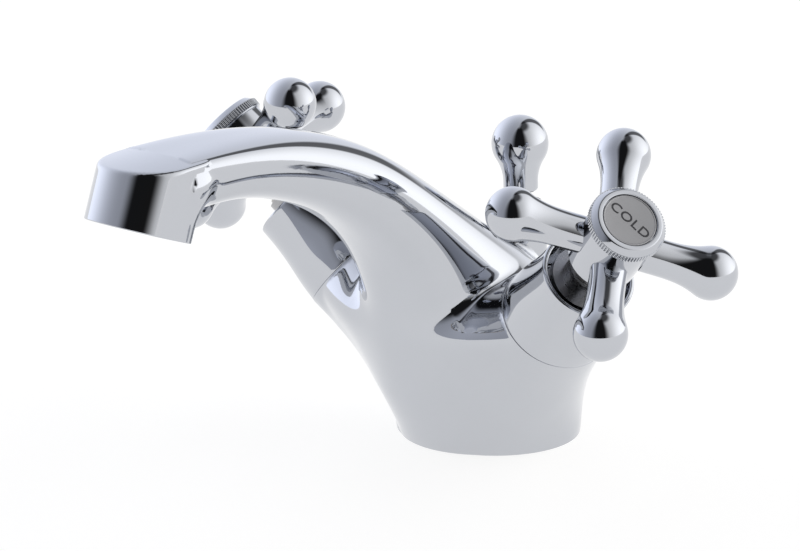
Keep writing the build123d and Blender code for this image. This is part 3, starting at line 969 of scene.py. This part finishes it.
def makeKnurl(side):
    bottom = stations(side + "_cap", side)[0] / mm + cap["plugLength"]
    piece = linked(side + "CapKnurl", bpy.data.meshes.new(side + "CapKnurl"))
    ring = piece.modifiers.new("knurl", "NODES")
    ring.node_group = knurlTree
    height = cap["bandHeight"] - cap["smooth"] - 0.05
    ring[knurlInputs["ribs"].identifier] = cap["ribs"]
    ring[knurlInputs["radius"].identifier] = (cap["band"] - cap["ribWidth"] / 2) * mm
    ring[knurlInputs["width"].identifier] = cap["ribWidth"] / 2 * mm
    ring[knurlInputs["height"].identifier] = height * mm
    ring[knurlInputs["finish"].identifier] = capChrome
    done = evaluated(piece)
    piece.modifiers.clear()
    piece.data = done
    middle = (bottom + cap["smooth"] + height / 2) * mm
    done.transform(valves[side]["place"] @ Matrix.Translation((0, 0, middle)))
    done.shade_smooth()
    done.set_sharp_from_angle(angle=math.radians(50))
    return piece


# the index discs and their words
index = {
    "radius": 7.46,
    "step": 6.95,
    "stepSlope": 0.12,
    "stepDepth": 0.08,
    "letterHeight": 2.8,
    "letterShare": 0.73,  # height of a capital in the face's size
    "letterDepth": 0.04,
    "bold": 0.05,
    "wide": 1.15,
    "spacing": 1.1,
    "words": {"cold": ("COLD", -59.0), "hot": ("HOT", 45.0)},  # word and turn
}


def makeIndexDisc(side):
    low, high, _ = stations(side + "_index_disc", side)
    low, high = low / mm, high / mm
    outline = fillets(
        [
            (0, low),
            (index["radius"], low),
            (index["radius"], high, 0.2),
            (index["step"] + index["stepSlope"], high, 0.06),
            (index["step"], high - index["stepDepth"], 0.06),
            (0, high - index["stepDepth"]),
        ]
    )
    return turned(side + "IndexDisc", outline, valves[side]["place"], 128)


def makeWord(side):
    word, turn = index["words"][side]
    curve = bpy.data.curves.new(side + "Word", "FONT")
    curve.body = word
    curve.size = index["letterHeight"] / index["letterShare"] * mm
    curve.align_x = "CENTER"
    curve.align_y = "CENTER"
    curve.space_character = index["spacing"]
    curve.extrude = index["letterDepth"] * mm
    curve.offset = index["bold"] * mm
    curve.resolution_u = 6
    text = linked("text", curve)
    mesh = evaluated(text)
    bpy.data.objects.remove(text)
    high = stations(side + "_index_disc", side)[1]
    place = valves[side]["place"] @ Matrix.Translation((0, 0, high - index["stepDepth"] * mm))
    stretch = Matrix.Diagonal((index["wide"], 1, 1, 1))
    mesh.transform(place @ Matrix.Rotation(math.radians(turn), 4, "Z") @ stretch)
    return linked(side + "IndexWord", mesh)


for side in valves:
    print(side, "valve: bell, handle, cap and disc")
    low, high, _ = stations(side + "_bell", side)
    cover = turned(side + "BellCover", bellOutline(low / mm, high / mm), valves[side]["place"], 160)
    settled(dressed(cover, trimChrome), "body", "trim_chrome", side + "_bell")
    settled(dressed(makeHandle(side), handleChrome), side + "_valve", "handle_chrome", side + "_handle")
    settled(dressed(makeCap(side), capChrome), side + "_valve", "cap_chrome", side + "_cap")
    settled(makeKnurl(side), side + "_valve", "cap_chrome")
    settled(dressed(makeIndexDisc(side), indexSatin), side + "_valve", "index_satin", side + "_index_disc")
    settled(dressed(makeWord(side), letterPaint), side + "_valve", "index_satin")

print("lift rod knob")
knob = {"ball": 7.89, "neck": 4.8, "neckLength": 2.5, "flare": 122.0, "pull": 0.333, "below": 0.01}
knobLow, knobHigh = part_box("lift_knob")[0].z / mm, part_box("lift_knob")[1].z / mm
knobOutline = teardropOutline(knob, knobHigh - knobLow - knob["below"] - knob["ball"])
knobOutline = fillets([(0, 0), (knob["neck"], 0, 0.8), *knobOutline[3:]])
knobPlace = Matrix.Translation((0, bossBack * mm, knobLow * mm))
ball = turned("liftKnob", knobOutline, knobPlace, 128)
settled(dressed(ball, trimChrome), "lift", "trim_chrome", "lift_knob")

# the camera stands where the object is seen from the left of the cold valve
view = {
    "turn": 45.02,
    "rise": 16.91,
    "roll": 1.37,
    "distance": 1.5078,
    "lens": 245.1,
    "aim": (-0.02564, -0.00822, 0.04053),
}


def makeCamera():
    turn, rise, roll = (math.radians(view[key]) for key in ("turn", "rise", "roll"))
    right = Vector((math.cos(turn), math.sin(turn), 0))
    back = Vector((math.sin(turn) * math.cos(rise), -math.cos(turn) * math.cos(rise), math.sin(rise)))
    over = back.cross(right)
    localX = right * math.cos(roll) - over * math.sin(roll)
    localY = right * math.sin(roll) + over * math.cos(roll)
    lens = bpy.data.cameras.new("camera")
    lens.lens = view["lens"]
    lens.sensor_width = 36
    lens.clip_start = 0.05
    lens.clip_end = 40
    camera = linked("camera", lens)
    place = Matrix((localX, localY, back)).transposed().to_4x4()
    camera.matrix_world = Matrix.Translation(Vector(view["aim"]) + back * view["distance"]) @ place
    bpy.context.scene.camera = camera


# the studio: azimuth 0 looks along the spout, 90 is the cold side; angles in degrees
studio = {
    "tentRadius": 3.0,
    "tentRises": range(-12, 90, 12),
    "plain": 0.38,
    "least": 0.012,
    "softboxes": [(-86, 4, 1.15, 47), (147, 5, 1.4, 58)],  # azimuth, height, strength, spread
    "gap": (43, 17, 42),  # middle, half width that is black, half width where it ends
    "gapTop": (72, 88),
    "roof": (54, 70),
    "roofSide": (120, -0.05, 0.12, 0.0, 0.9),  # azimuth, facings where it starts and is full, depths
    "strip": (-166, 7, 14),
    "stripDepth": 0.85,
    "stripFoot": (2, 14),
    "stripTop": (74, 86),
    "coolTone": (0.94, 0.98, 1.10, 1),
    "warmTone": (1.0, 1.0, 1.0, 1),
    "warmSide": (120, -0.5, 0.7),
    "floorSize": 3.2,
    "floorColour": (0.92, 0.9, 0.86, 1),
    "floorGlow": (1.2, 0.7),  # strength, share in what is seen or mirrored
    "air": (0.7, 0.3),  # strength, and what is added where it is seen or mirrored
}


def maths(tree, operation, a, b=None):
    node = tree.nodes.new("ShaderNodeMath")
    node.operation = operation
    for socket, value in zip(node.inputs, (a, b)):
        if isinstance(value, (int, float)):
            socket.default_value = value
        elif value is not None:
            tree.links.new(value, socket)
    return node.outputs[0]


def softStep(tree, value, low, high, start=0.0, end=1.0):
    run = tree.nodes.new("ShaderNodeMapRange")
    run.interpolation_type = "SMOOTHSTEP"
    for name, number in (("From Min", low), ("From Max", high), ("To Min", start), ("To Max", end)):
        run.inputs[name].default_value = number
    tree.links.new(value, run.inputs["Value"])
    return run.outputs["Result"]


def facing(tree, way, azimuth, rise):
    # cosine of the angle to a place on the tent
    turn, lift = math.radians(azimuth), math.radians(rise)
    node = tree.nodes.new("ShaderNodeVectorMath")
    node.operation = "DOT_PRODUCT"
    tree.links.new(way, node.inputs[0])
    flat = math.cos(lift)
    node.inputs[1].default_value = (math.sin(turn) * flat, -math.cos(turn) * flat, math.sin(lift))
    return node.outputs["Value"]


def aroundFrom(tree, azimuth, middle):
    # degrees away from an azimuth, either way round
    off = maths(tree, "SUBTRACT", azimuth, math.radians(middle))
    off = maths(tree, "ARCTAN2", maths(tree, "SINE", off), maths(tree, "COSINE", off))
    return maths(tree, "ABSOLUTE", maths(tree, "DEGREES", off))


def tentLight(tree, place):
    # the light that comes from the way a point lies, and its colour
    unit = tree.nodes.new("ShaderNodeVectorMath")
    unit.operation = "NORMALIZE"
    tree.links.new(place, unit.inputs[0])
    way = unit.outputs["Vector"]
    parts = tree.nodes.new("ShaderNodeSeparateXYZ")
    tree.links.new(way, parts.inputs[0])
    azimuth = maths(tree, "ARCTAN2", parts.outputs["X"], maths(tree, "MULTIPLY", parts.outputs["Y"], -1))
    rise = maths(tree, "DEGREES", maths(tree, "ARCSINE", parts.outputs["Z"]))
    light = studio["plain"]
    for middle, height, strength, spreadAngle in studio["softboxes"]:
        angle = maths(tree, "DEGREES", maths(tree, "ARCCOSINE", facing(tree, way, middle, height)))
        fall = maths(tree, "POWER", maths(tree, "DIVIDE", angle, spreadAngle), 2)
        glow = maths(tree, "MULTIPLY", maths(tree, "EXPONENT", maths(tree, "MULTIPLY", fall, -1)), strength)
        light = maths(tree, "ADD", light, glow)
    middle, black, end = studio["gap"]
    gap = softStep(tree, aroundFrom(tree, azimuth, middle), black, end, 1.0, 0.0)
    gap = maths(tree, "MULTIPLY", gap, softStep(tree, rise, *studio["gapTop"], 1.0, 0.0))
    side, *steps = studio["roofSide"]
    roof = softStep(tree, rise, *studio["roof"])
    roof = maths(tree, "MULTIPLY", roof, softStep(tree, facing(tree, way, side, 0), *steps))
    middle, black, end = studio["strip"]
    strip = softStep(tree, aroundFrom(tree, azimuth, middle), black, end, studio["stripDepth"], 0.0)
    strip = maths(tree, "MULTIPLY", strip, softStep(tree, rise, *studio["stripFoot"]))
    strip = maths(tree, "MULTIPLY", strip, softStep(tree, rise, *studio["stripTop"], 1.0, 0.0))
    for dark in (gap, roof, strip):
        light = maths(tree, "MULTIPLY", light, maths(tree, "SUBTRACT", 1.0, dark))
    side, *steps = studio["warmSide"]
    warm = softStep(tree, facing(tree, way, side, 0), *steps)
    tone = mixedColour(tree, warm, studio["coolTone"], studio["warmTone"])
    return maths(tree, "ADD", light, studio["least"]), tone


def tentMaterial():
    material = bpy.data.materials.new("tentCloth")
    material.use_nodes = True
    tree = material.node_tree
    tree.nodes.clear()
    place = tree.nodes.new("ShaderNodeTexCoord")
    light, colour = tentLight(tree, place.outputs["Object"])
    glow = tree.nodes.new("ShaderNodeEmission")
    tree.links.new(colour, glow.inputs["Color"])
    tree.links.new(light, glow.inputs["Strength"])
    out = tree.nodes.new("ShaderNodeOutputMaterial")
    tree.links.new(glow.outputs["Emission"], out.inputs["Surface"])
    return material


def seenOrMirrored(tree):
    # 1 for camera, glossy and transmission rays
    path = tree.nodes.new("ShaderNodeLightPath")
    seen = maths(tree, "MAXIMUM", path.outputs["Is Camera Ray"], path.outputs["Is Glossy Ray"])
    return maths(tree, "MAXIMUM", seen, path.outputs["Is Transmission Ray"])


def floorMaterial():
    material, tree, shader = newMaterial("paleFloor")
    shader.inputs["Base Color"].default_value = studio["floorColour"]
    shader.inputs["Roughness"].default_value = 0.9
    shader.inputs["Specular IOR Level"].default_value = 0.0
    strength, share = studio["floorGlow"]
    glow = tree.nodes.new("ShaderNodeEmission")
    glow.inputs["Strength"].default_value = strength
    mix = tree.nodes.new("ShaderNodeMixShader")
    tree.links.new(maths(tree, "MULTIPLY", seenOrMirrored(tree), share), mix.inputs["Fac"])
    tree.links.new(shader.outputs["BSDF"], mix.inputs[1])
    tree.links.new(glow.outputs["Emission"], mix.inputs[2])
    tree.links.new(mix.outputs["Shader"], tree.nodes["Material Output"].inputs["Surface"])
    return material


def makeTent():
    radius = studio["tentRadius"]
    rises = [math.radians(angle) for angle in studio["tentRises"]]
    outline = [(radius / mm * math.cos(a), radius / mm * math.sin(a)) for a in rises]
    mesh = turnedMesh("lightTent", [*outline, (0, radius / mm)], closed=False)
    mesh.materials.append(tentMaterial())
    tent = linked("lightTent", mesh)
    tent.visible_camera = False
    tent.visible_shadow = False


def makeFloor():
    bm = bmesh.new()
    bmesh.ops.create_grid(bm, x_segments=8, y_segments=8, size=studio["floorSize"])
    mesh = bpy.data.meshes.new("floor")
    bm.to_mesh(mesh)
    bm.free()
    mesh.materials.append(floorMaterial())
    linked("floor", mesh)


def makeWorld():
    world = bpy.data.worlds.new("studioAir")
    world.use_nodes = True
    tree = world.node_tree
    air = tree.nodes["Background"]
    air.inputs["Color"].default_value = (1, 1, 1, 1)
    plain, added = studio["air"]
    strength = maths(tree, "ADD", maths(tree, "MULTIPLY", seenOrMirrored(tree), added), plain)
    tree.links.new(strength, air.inputs["Strength"])
    bpy.context.scene.world = world


print("studio")
makeCamera()
makeFloor()
makeTent()
makeWorld()
bpy.context.scene.view_settings.view_transform = "Standard"
